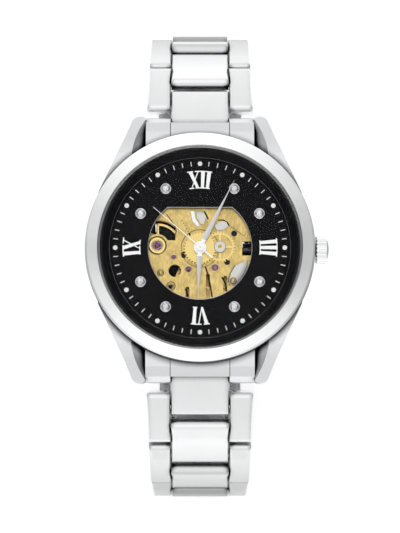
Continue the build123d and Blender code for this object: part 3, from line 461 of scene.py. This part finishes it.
def clear_glass(name, alpha):
    """Thin clear mineral glass, denser in its outer edge."""
    finish = Finish(name, (0.02, 0.02, 0.022), 0.0, 0.02, IOR=1.5)
    x, y, z = finish.place()
    radius = from_axis(x, y)
    finish.feed("Alpha", finish.ramp(radius, 17.6 * MM, 18.6 * MM, alpha, 0.4))
    dust = finish.noise(finish.vector(x, y, z), scale=700.0)
    finish.feed("Roughness", dust * 0.02 + 0.005)
    return finish.material


def jewel_glass(name, colour, roughness=0.05):
    """Polished synthetic stone, a little deeper where it is thick."""
    finish = Finish(name, colour, 0.0, roughness, Coat_Roughness=0.02, IOR=1.76)
    x, y, z = finish.place()
    depth = finish.noise(finish.vector(x, y, z), scale=2500.0, detail=2.0)
    finish.tint(depth, shade(colour, 0.55), shade(colour, 1.6))
    finish.feed("Coat Weight", 1.0)
    finish.feed("Roughness", depth * 0.05 + roughness - 0.02)
    return finish.material


def printed_ink(name, colour):
    """Matt white print with a slightly uneven edge to its tone, and a faint painted glow that brightens it."""
    # Painted light: a weak white glow makes the print brighter; it is no lamp.
    finish = Finish(name, colour, 0.0, 0.45, Emission_Color=WHITE, Emission_Strength=0.22)
    x, y, z = finish.place()
    patch = finish.noise(finish.vector(x, y, z), scale=3000.0)
    finish.tint(patch, shade(colour, 0.85), shade(colour, 1.05))
    finish.bump(patch, 0.1, 0.01 * MM)
    return finish.material


# ------------------------------------------------------------------ mesh tools
def make_piece(name, mesh, body, material, smooth=False, bevel=0.0):
    """Turn a bmesh into a piece that rides on a body."""
    bmesh.ops.remove_doubles(mesh, verts=mesh.verts, dist=1e-8)
    bmesh.ops.recalc_face_normals(mesh, faces=mesh.faces)
    data = bpy.data.meshes.new(name)
    mesh.to_mesh(data)
    mesh.free()
    for face in data.polygons:
        face.use_smooth = smooth
    data.materials.append(material)
    piece = bpy.data.objects.new(name, data)
    bpy.context.scene.collection.objects.link(piece)
    if bevel:
        edge = piece.modifiers.new("Edges", "BEVEL")
        edge.width = bevel
        edge.segments = 2
        edge.limit_method = "ANGLE"
    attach(piece, body)
    return piece


def spun(mesh, profile, centre, steps=64):
    """Spin a closed (radius, height) profile, in millimetres, round an upright axis."""
    start = [mesh.verts.new((centre[0] + r * MM, centre[1], centre[2] + h * MM)) for r, h in profile]
    edges = [mesh.edges.new(pair) for pair in zip(start, start[1:] + start[:1])]
    bmesh.ops.spin(
        mesh, geom=start + edges, cent=centre, axis=(0, 0, 1), dvec=(0, 0, 0),
        angle=FULL_TURN, steps=steps, use_merge=True, use_duplicate=False,
    )


def tablet(mesh, corners, bottom, top):
    """A flat plate with straight edges; corners are in millimetres, its two heights in metres."""
    base = [mesh.verts.new((x * MM, y * MM, bottom)) for x, y in corners]
    face = mesh.faces.new(base)
    lifted = bmesh.ops.extrude_face_region(mesh, geom=[face])
    verts = [item for item in lifted["geom"] if isinstance(item, bmesh.types.BMVert)]
    bmesh.ops.translate(mesh, verts=verts, vec=(0, 0, top - bottom))


def clock_point(radius, angle):
    """A point at a radius, its angle in degrees clockwise from 12 o'clock."""
    return radius * sin(radians(angle)), radius * cos(radians(angle))


def wire_piece(name, points, thickness, body, material, closed=False):
    """A round wire through points, as a bevelled curve made into a mesh."""
    curve = bpy.data.curves.new(name, "CURVE")
    curve.dimensions = "3D"
    curve.bevel_depth = thickness / 2
    curve.bevel_resolution = 3
    line = curve.splines.new("POLY")
    line.points.add(len(points) - 1)
    for knot, point in zip(line.points, points):
        knot.co = (*point, 1.0)
    line.use_cyclic_u = closed
    holder = bpy.data.objects.new(name + "_curve", curve)
    bpy.context.scene.collection.objects.link(holder)
    evaluated = holder.evaluated_get(bpy.context.evaluated_depsgraph_get())
    data = bpy.data.meshes.new_from_object(evaluated)
    bpy.data.objects.remove(holder)
    data.name = name
    data.materials.clear()
    data.materials.append(material)
    for face in data.polygons:
        face.use_smooth = True
    piece = bpy.data.objects.new(name, data)
    bpy.context.scene.collection.objects.link(piece)
    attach(piece, body)
    return piece


FINISHES = {}


def finish_node(node, material):
    """Give a CAD node its material."""
    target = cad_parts[node]
    target.data.materials.clear()
    target.data.materials.append(material)


class WatchOperator(bpy.types.Operator):
    """Shared base of the watch's operators."""

    bl_options = {"REGISTER", "UNDO"}

    @property
    def sizes(self):
        return bpy.context.scene.watch_sizes

    @property
    def colours(self):
        return bpy.context.scene.watch_colours


class WATCH_OT_finishes(WatchOperator):
    """Make every finish and give the frame's nodes theirs"""

    bl_idname = "watch.finishes"
    bl_label = "Finishes"

    def execute(self, context):
        colours = self.colours
        steel = tuple(colours.steel)
        bright = tuple(colours.bright_steel)
        FINISHES.update({
            "case": brushed("brushed_case_steel", steel, "Z", 0.3),
            "bezel": sunburst("satin_bezel_steel", bright, 0.24),
            "link": link_steel("polished_link_steel", (0.84, 0.845, 0.85), 0.10),
            "end_link": brushed("satin_end_link_steel", steel, "Y", 0.3),
            "bright": polished("polished_bright_steel", bright, 0.07),
            "hand": polished("polished_hand_steel", (0.97, 0.97, 0.97), 0.25),
            "pin": brushed("turned_pin_steel", shade(steel, 0.8), "X", 0.25),
            "blade": brushed("satin_blade_steel", steel, "Y", 0.3),
            "crystal": clear_glass("clear_crystal", 0.03),
            "lacquer": lacquered("black_lacquer", tuple(colours.lacquer)),
            "gilt": gilt_plate("ground_gilt", tuple(colours.gilt)),
            "brass": turned_metal("satin_wheel_brass", (0.93, 0.72, 0.28), 0.26),
            "balance": polished("polished_balance_gilt", (0.93, 0.72, 0.30), 0.15),
            "grey": brushed("satin_lever_steel", (0.74, 0.73, 0.70), "Y", 0.28),
            "dark": polished("dark_oiled_steel", (0.10, 0.10, 0.11), 0.25),
            "blued": polished("blued_screw_steel", tuple(colours.blued), 0.15, 0.2),
            "spring": polished("blue_grey_spring_steel", (0.30, 0.34, 0.45), 0.2),
            "ruby": jewel_glass("synthetic_ruby", tuple(colours.ruby)),
            "stone": foiled_stone("clear_cut_stone"),
            "holder": brushed("satin_holder_alloy", (0.6, 0.61, 0.62), "Z", 0.35),
            "rotor": striped_steel("waved_rotor_steel", (0.72, 0.72, 0.72)),
            "ink": printed_ink("white_print_with_painted_glow", (0.95, 0.95, 0.94)),
            # Dark steel for the plate's joints, grooves and marks, and for painted shade: the sheets under the
            # windows, the holes, the gaps round screws and the tubes on the spring bars.
            "dark_joints_and_painted_shade": brushed("dark_joint_and_painted_shade_steel", (0.035, 0.035, 0.037), "X", 0.45),
        })
        by_finish = {
            "case": ["mid_case", "case_back", "crown_tube"],
            "bezel": ["bezel"],
            "end_link": ["end_links"],
            "bright": ["crown", "hour_numerals", "clasp_button_left", "clasp_button_right"],
            "hand": ["hour_hand", "minute_hand", "seconds_hand"],
            "pin": ["spring_bars", "winding_stem"],
            "blade": ["clasp_cover", "clasp_middle_blade", "clasp_inner_blade"],
            "crystal": ["crystal", "back_glass"],
            "lacquer": ["dial", "rehaut_ring"],
            "gilt": ["mainplate", "barrel_bridge", "train_bridge", "balance_cock", "pallet_bridge"],
            "brass": ["barrel_drum", "center_wheel", "third_wheel", "fourth_wheel", "hour_wheel",
                      "minute_wheel"],
            "balance": ["balance_wheel"],
            "grey": ["cannon_pinion", "crown_wheel", "ratchet_wheel", "click",
                     "escape_wheel", "pallet_fork"],
            "dark": ["sliding_pinion", "winding_pinion"],
            "blued": ["movement_screws"],
            "spring": ["mainspring", "hairspring"],
            "ruby": ["train_jewels"],
            "stone": ["hour_stones"],
            "holder": ["movement_holder"],
            "rotor": ["rotor"],
        }
        for finish, nodes in by_finish.items():
            for node in nodes:
                finish_node(node, FINISHES[finish])
        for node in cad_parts:
            if node.startswith("bracelet_"):
                finish_node(node, FINISHES["link"])
        return {"FINISHED"}


class WATCH_OT_minute_track(WatchOperator):
    """Print the hour dots, the minute strokes and the fine ring inside them"""

    bl_idname = "watch.minute_track"
    bl_label = "Minute track"

    def execute(self, context):
        sizes = self.sizes
        bottom = DIAL_TOP - 0.01 * MM
        top = DIAL_TOP + sizes.print_height
        dot_rise = 0.06 * MM
        mesh = bmesh.new()
        for minute in range(60):
            x, y = clock_point(sizes.track_radius, 6 * minute)
            if minute % 5 == 0:
                dot = bmesh.ops.create_cone(
                    mesh, cap_ends=True, segments=24, radius1=sizes.dot_radius,
                    radius2=sizes.dot_radius * 0.92, depth=top - bottom + dot_rise,
                )
                place = Matrix.Translation((x, y, (top + bottom + dot_rise) / 2))
            else:
                dot = bmesh.ops.create_cube(mesh, size=1.0)
                scale = Matrix.Diagonal((sizes.stroke_width, sizes.stroke_length, top - bottom, 1.0))
                place = Matrix.Translation((x, y, (top + bottom) / 2))
                place = place @ Matrix.Rotation(-radians(6 * minute), 4, "Z") @ scale
            bmesh.ops.transform(mesh, matrix=place, verts=dot["verts"])
        make_piece("minute_track", mesh, HEAD, FINISHES["ink"])
        mesh = bmesh.new()
        middle_of_dial = (0, 0, DIAL_TOP)
        inner_line = [(14.17, -0.01), (14.17, 0.02), (14.23, 0.02), (14.23, -0.01)]
        outer_step = [(16.12, -0.01), (16.12, 0.05), (16.3, 0.2), (16.42, 0.2), (16.42, -0.01)]
        for profile in (inner_line, outer_step):
            spun(mesh, profile, middle_of_dial, 128)
        make_piece("dial_step_ring", mesh, HEAD, FINISHES["lacquer"])
        return {"FINISHED"}


class WATCH_OT_stones(WatchOperator):
    """Cut the eight stones and set them in polished cups"""

    bl_idname = "watch.stones"
    bl_label = "Hour stones"

    def execute(self, context):
        sizes = self.sizes
        stones = bmesh.new()
        cups = bmesh.new()
        radius = sizes.stone_radius
        for hour in (1, 2, 4, 5, 7, 8, 10, 11):
            x, y = clock_point(sizes.marker_radius, 30 * hour)
            for r_low, r_high, z_low, z_high in (
                (radius * 0.95, radius, 0.06, 0.2), (radius, radius * 0.55, 0.2, 0.44),
            ):
                part = bmesh.ops.create_cone(
                    stones, cap_ends=True, segments=2 * sizes.stone_facets,
                    radius1=r_low, radius2=r_high, depth=(z_high - z_low) * MM,
                )
                place = Matrix.Translation((x, y, DIAL_TOP + (z_low + z_high) / 2 * MM))
                bmesh.ops.transform(stones, matrix=place, verts=part["verts"])
            rim = radius / MM
            cup = [
                (rim * 0.99, 0.0), (rim * 0.99, 0.2), (rim + 0.05, 0.27), (rim + 0.13, 0.2), (rim + 0.14, 0.0),
            ]
            spun(cups, cup, (x, y, DIAL_TOP), 32)
            for claw in range(4):
                angle = radians(90 * claw + 45)
                peg = bmesh.ops.create_uvsphere(cups, u_segments=8, v_segments=6, radius=0.13 * MM)
                at = (x + radius * cos(angle), y + radius * sin(angle), DIAL_TOP + 0.27 * MM)
                bmesh.ops.translate(cups, verts=peg["verts"], vec=at)
        cut = make_piece("cut_stones", stones, HEAD, FINISHES["stone"])
        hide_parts("hour_stones")
        make_piece("stone_cups", cups, HEAD, FINISHES["bright"], smooth=True)
        return {"FINISHED"}


class WATCH_OT_opening_rim(WatchOperator):
    """Lay the bright edge round the dial's opening"""

    bl_idname = "watch.opening_rim"
    bl_label = "Opening rim"

    def execute(self, context):
        sizes = self.sizes
        outside = 0.07 * MM
        radius = sizes.opening_radius + outside
        flat = sizes.opening_flat + outside
        start = degrees(asin(flat / radius))
        points = []
        steps = 120
        span = 180 + 2 * start
        for index in range(steps + 1):
            angle = radians(start - span * index / steps)
            points.append((radius * cos(angle), radius * sin(angle), DIAL_TOP - 0.02 * MM))
        rim = wire_piece("opening_rim", points, 0.09 * MM, HEAD, FINISHES["bright"], closed=True)
        return {"FINISHED"}


class WATCH_OT_plate_parts(WatchOperator):
    """Add the shock setting, jewel sinks, levers and springs that lie on the plate"""

    bl_idname = "watch.plate_parts"
    bl_label = "Plate parts"

    def execute(self, context):
        at = (BALANCE.x, BALANCE.y, PLATE_TOP)
        mesh = bmesh.new()
        collar = [(0.95, -0.05), (0.95, 0.12), (1.1, 0.2), (1.45, 0.2), (1.58, 0.08), (1.58, -0.05)]
        spun(mesh, collar, at)
        make_piece("shock_ring", mesh, HEAD, FINISHES["balance"])
        mesh = bmesh.new()
        spun(mesh, [(0.0, 0.02), (0.0, 0.2), (0.3, 0.17), (0.5, 0.05), (0.5, 0.0)], at, 32)
        make_piece("shock_jewel", mesh, HEAD, FINISHES["ruby"], smooth=True)
        loops = []
        bends = 48
        for index in range(bends):
            angle = FULL_TURN * index / bends
            reach = (0.72 + 0.16 * cos(3 * angle)) * MM
            loops.append((at[0] + reach * cos(angle), at[1] + reach * sin(angle), at[2] + 0.15 * MM))
        spring = wire_piece("shock_spring", loops, 0.07 * MM, HEAD, FINISHES["bright"], closed=True)
        sinks = bmesh.new()
        for x, y, r in (
            (THIRD.x, THIRD.y, 0.6), (ESCAPE.x, ESCAPE.y, 0.55),
            (-4.8 * MM, -1.6 * MM, 0.45), (-3.0 * MM, -1.0 * MM, 0.42),
        ):
            sink = [(r, -0.1), (r, 0.015), (r + 0.16, 0.04), (r + 0.22, 0.0), (r + 0.22, -0.1)]
            spun(sinks, sink, (x, y, PLATE_TOP), 40)
        make_piece("jewel_sinks", sinks, HEAD, FINISHES["balance"], smooth=True)
        self.levers()
        return {"FINISHED"}

    def levers(self):
        """The flat steel levers of the hand-setting work."""
        shapes = {
            "yoke": [
                (6.6, -3.1), (8.3, -2.3), (8.8, -2.0), (8.7, -3.2), (8.1, -4.7), (7.1, -6.1),
                (6.3, -6.9), (5.6, -6.7), (5.3, -5.9), (5.6, -4.6), (6.1, -3.7),
            ],
            "setting_lever": [
                (3.1, 3.3), (4.4, 3.4), (5.2, 4.1), (4.9, 4.8), (4.2, 5.1), (3.2, 4.7), (2.6, 4.1),
            ],
            "upper_bar": [(-0.75, 6.9), (0.4, 6.9), (1.2, 5.8), (0.7, 4.3), (0.1, 4.5), (-0.6, 5.6)],
            "upper_spring": [(-1.8, 6.9), (-1.0, 6.9), (-0.8, 5.5), (0.0, 4.2), (-0.5, 4.0), (-1.4, 5.0)],
            "balance_finger": [(-8.15, 3.0), (-7.95, 3.0), (-7.9, 4.3), (-8.05, 4.6), (-8.2, 4.3)],
        }
        bottom = PLATE_TOP - 0.02 * MM
        for name, corners in shapes.items():
            mesh = bmesh.new()
            tablet(mesh, corners, bottom, bottom + 0.24 * MM)
            bright = name in ("upper_spring", "balance_finger")
            finish = FINISHES["bright" if bright else "grey"]
            make_piece(name, mesh, HEAD, finish, bevel=0.05 * MM)


class WATCH_OT_plate_relief(WatchOperator):
    """Lay the dark seams, sinks and marks on the plate, and set screws in their rings"""

    bl_idname = "watch.plate_relief"
    bl_label = "Plate relief"

    def execute(self, context):
        self.seams()
        dark = bmesh.new()
        gilded = bmesh.new()
        self.sinks(dark, gilded)
        self.marks(dark)
        self.grooves(dark)
        make_piece("plate_sinks", dark, HEAD, FINISHES["dark_joints_and_painted_shade"])
        make_piece("screw_rings", gilded, HEAD, FINISHES["balance"], smooth=True)
        self.wheel_cap()
        self.inner_shade()
        return {"FINISHED"}

    def seams(self):
        """The dark joints between the plate's parts: points along each, and its width."""
        seams = {
            "winding_seam": ([(3.3, 5.2), (4.2, 5.25), (5.0, 4.8), (5.4, 4.1)], 0.26),
            "bridge_seam": ([(5.5, 4.0), (6.1, 3.7), (6.8, 3.2), (7.6, 2.6), (8.1, 2.3), (8.5, 3.1)], 0.1),
            "spring_seam": ([(0.75, 6.9), (1.15, 6.2), (1.5, 5.4)], 0.28),
            "window_seam": ([(-6.1, 6.3), (-5.3, 5.2), (-4.6, 4.1), (-4.3, 3.2), (-4.7, 2.2)], 0.16),
            "lower_seam": ([(1.0, -3.4), (1.5, -5.0), (1.9, -7.0), (2.2, -8.9)], 0.3),
            "right_seam": ([(4.0, -5.3), (4.6, -6.3), (4.9, -7.9)], 0.3),
            "left_seam": ([(-2.6, -7.4), (-2.2, -8.8)], 0.34),
            "yoke_seam": ([(6.4, -3.1), (5.9, -3.9), (5.4, -4.8), (5.15, -5.9), (5.5, -6.9)], 0.12),
        }
        for name, (points, width) in seams.items():
            places = [(x * MM, y * MM, PLATE_TOP - 0.02 * MM) for x, y in points]
            seam = wire_piece(name, places, width * MM, HEAD, FINISHES["dark_joints_and_painted_shade"])

    def sinks(self, dark, gilded):
        """Open holes, and gilt screws in gilt rings, each with its lift above the plate; the holes and the gap
        round each screw are dark pieces, painted shade.
        """
        for x, y, hole, ring, lift in (
            (-5.3, -6.9, 0.3, 0.75, 0.02), (5.05, -2.6, 0.36, 0.0, 0.02), (-3.0, -1.35, 0.42, 0.0, 0.02),
            (-2.1, -4.1, 0.22, 0.0, 0.02), (6.25, 2.75, 0.5, 0.0, 0.02), (-7.2, -4.5, 0.0, 0.55, 0.02),
            (6.05, -5.95, 0.0, 0.5, 0.24),
        ):
            at = (x * MM, y * MM, PLATE_TOP + lift * MM)
            if ring:
                collar = [(ring - 0.16, 0.0), (ring - 0.16, 0.05), (ring - 0.05, 0.07), (ring, 0.0)]
                gap = [(ring, -0.03), (ring, 0.015), (ring + 0.09, 0.015), (ring + 0.09, -0.03)]
                head = [(0.0, -0.02), (0.0, 0.1), (ring * 0.6, 0.08), (ring * 0.66, -0.02)]
                spun(gilded, collar, at, 40)
                # Painted shade in the gap between collar and screw head.
                spun(dark, gap, at, 40)
                spun(gilded, head, at, 32)
            if hole:
                # Painted shade: a thin dark disc stands for the open hole.
                base = 0.1 if ring else 0.0
                disc = [(0.0, base), (0.0, base + 0.03), (hole * 0.9, base + 0.03), (hole, base)]
                spun(dark, disc, at, 32)

    def marks(self, dark):
        """The slanting row of small stamped marks, the last one larger."""
        for mark in range(6):
            x, y = -3.3 + 0.27 * mark, 5.2 - 0.5 * mark
            size = 0.16 if mark < 5 else 0.34
            corners = [
                (x - size / 2, y), (x, y - size), (x + size, y - size * 0.2), (x + size * 0.2, y + size * 0.4),
            ]
            tablet(dark, corners, PLATE_TOP - 0.01 * MM, PLATE_TOP + 0.015 * MM)

    def grooves(self, dark):
        """The dark circle round the shock setting and the one round the dial's middle."""
        setting = (BALANCE.x, BALANCE.y, PLATE_TOP)
        spun(dark, [(1.6, -0.03), (1.6, 0.02), (1.72, 0.02), (1.72, -0.03)], setting, 64)
        spun(dark, [(3.42, -0.03), (3.42, 0.01), (3.5, 0.01), (3.5, -0.03)], (0, 0, PLATE_TOP), 96)

    def wheel_cap(self):
        """The steel washer on the minute wheel."""
        wheel = middle("minute_wheel")
        mesh = bmesh.new()
        washer = [(0.42, 0.0), (0.42, 0.06), (1.0, 0.06), (1.07, 0.0)]
        spun(mesh, washer, (wheel.x, wheel.y, high("minute_wheel").z), 48)
        cap = make_piece("minute_wheel_cap", mesh, "minute_wheel_body", FINISHES["grey"])

    def inner_shade(self):
        """Dark sheets low under the two windows of the plate: painted shade in the openings."""
        mesh = bmesh.new()
        underside = low("barrel_bridge").z
        for corners in (
            [(-11.5, 0.0), (-4.0, 1.2), (-3.6, 5.0), (-5.5, 7.5), (-9.5, 7.0), (-12.0, 4.0)],
            [(-6.2, -5.6), (-3.2, -5.6), (-3.2, -2.7), (-6.2, -2.7)],
        ):
            tablet(mesh, corners, underside - 0.2 * MM, underside - 0.08 * MM)
        make_piece("inner_shade", mesh, HEAD, FINISHES["dark_joints_and_painted_shade"])


class WATCH_OT_bar_sleeves(WatchOperator):
    """Slip dark tubes over the spring bars, beside the first centre links, as painted shade in the gaps there
    """

    bl_idname = "watch.bar_sleeves"
    bl_label = "Bar sleeves"

    def execute(self, context):
        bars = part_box("spring_bars")
        height = (bars[0].z + bars[1].z) / 2
        reach = bars[1].y - (bars[1].z - bars[0].z) / 2
        radius, length, offset = 1.25 * MM, 4.2 * MM, 7.65 * MM
        crosswise = Matrix.Rotation(pi / 2, 4, "Y")
        mesh = bmesh.new()
        for end in (-1, 1):
            for side in (-1, 1):
                tube = bmesh.ops.create_cone(
                    mesh, cap_ends=True, segments=40, radius1=radius, radius2=radius, depth=length,
                )
                place = Matrix.Translation((side * offset, end * reach, height)) @ crosswise
                bmesh.ops.transform(mesh, matrix=place, verts=tube["verts"])
        # Painted shade: dark tubes fill the gaps beside the first centre links.
        sleeves = make_piece("bar_sleeves", mesh, HEAD, FINISHES["dark_joints_and_painted_shade"], bevel=0.08 * MM)
        return {"FINISHED"}


class WATCH_OT_stage(WatchOperator):
    """Set the floor, the lights and the camera"""

    bl_idname = "watch.stage"
    bl_label = "Stage"

    def execute(self, context):
        mesh = bmesh.new()
        bmesh.ops.create_grid(mesh, x_segments=1, y_segments=1, size=3.0)
        data = bpy.data.meshes.new("floor")
        mesh.to_mesh(data)
        mesh.free()
        floor = bpy.data.objects.new("floor", data)
        context.scene.collection.objects.link(floor)
        paper = Finish("pale_floor", (0.93, 0.93, 0.93), 0.0, 0.8)
        paper.feed("Emission Color", WHITE)
        paper.feed("Emission Strength", 0.5)
        data.materials.append(paper.material)
        self.lights(context)
        self.camera(context)
        return {"FINISHED"}

    def lights(self, context):
        """A soft room, brightest along the bracelet and overhead, and one wide panel."""
        world = bpy.data.worlds.new("studio")
        context.scene.world = world
        world.use_nodes = True
        room = Nodes(world.node_tree)
        x, y, z = room.parts(room.node("ShaderNodeTexCoord", output="Generated"))
        up = z.maths("MAXIMUM", 0.0)
        along, overhead, everywhere, from_left = 0.85, 0.75, 0.19, 0.10
        glow = y * y * along + (up ** 3.0) * overhead + everywhere - x * from_left
        background = room.tree.nodes["Background"]
        plug(room.tree, background.inputs["Color"], WHITE)
        plug(room.tree, background.inputs["Strength"], glow)
        panel = bpy.data.lights.new("over_panel", "AREA")
        panel.shape = "RECTANGLE"
        panel.size, panel.size_y = 0.5, 0.9
        panel.energy = 0.3
        holder = bpy.data.objects.new("over_panel", panel)
        holder.location = (-0.05, 0.12, 0.9)
        context.scene.collection.objects.link(holder)

    def camera(self, context):
        """The camera over the dial, tilted a little from the 6 o'clock side."""
        sizes = self.sizes
        lens = bpy.data.cameras.new("camera")
        lens.lens = 150.0
        lens.sensor_width = 36.0
        camera = bpy.data.objects.new("camera", lens)
        aim_below = 3.7 * MM
        target = Vector((0.0, -aim_below, BEZEL_TOP))
        tilt = sizes.camera_tilt
        back = Vector((0.0, -sin(tilt), cos(tilt)))
        camera.location = target + back * sizes.camera_distance
        camera.rotation_euler = (tilt, 0.0, 0.0)
        context.scene.collection.objects.link(camera)
        context.scene.camera = camera
        context.scene.view_settings.view_transform = "Standard"


class WATCH_PT_panel(bpy.types.Panel):
    """The watch's sizes, colours and steps"""

    bl_idname = "WATCH_PT_panel"
    bl_label = "Skeleton wristwatch"
    bl_space_type = "VIEW_3D"
    bl_region_type = "UI"
    bl_category = "Watch"

    def draw(self, context):
        for group in (context.scene.watch_sizes, context.scene.watch_colours):
            for key in group.bl_rna.properties.keys():
                if key not in ("rna_type", "name"):
                    self.layout.prop(group, key)
        for step in STEPS:
            self.layout.operator(step.bl_idname)


STEPS = (
    WATCH_OT_stage, WATCH_OT_finishes, WATCH_OT_minute_track, WATCH_OT_stones,
    WATCH_OT_opening_rim, WATCH_OT_plate_parts, WATCH_OT_plate_relief, WATCH_OT_bar_sleeves,
)
CLASSES = (WatchSizes, WatchColours, *STEPS, WATCH_PT_panel)


def register():
    for item in CLASSES:
        bpy.utils.register_class(item)
    bpy.types.Scene.watch_sizes = PointerProperty(type=WatchSizes)
    bpy.types.Scene.watch_colours = PointerProperty(type=WatchColours)


def unregister():
    del bpy.types.Scene.watch_colours
    del bpy.types.Scene.watch_sizes
    for item in reversed(CLASSES):
        bpy.utils.unregister_class(item)


def main():
    register()
    bpy.ops.watch.stage()
    bpy.ops.watch.finishes()
    bpy.ops.watch.minute_track()
    bpy.ops.watch.stones()
    bpy.ops.watch.opening_rim()
    bpy.ops.watch.plate_parts()
    bpy.ops.watch.plate_relief()
    bpy.ops.watch.bar_sleeves()


if __name__ == "__main__":
    main()
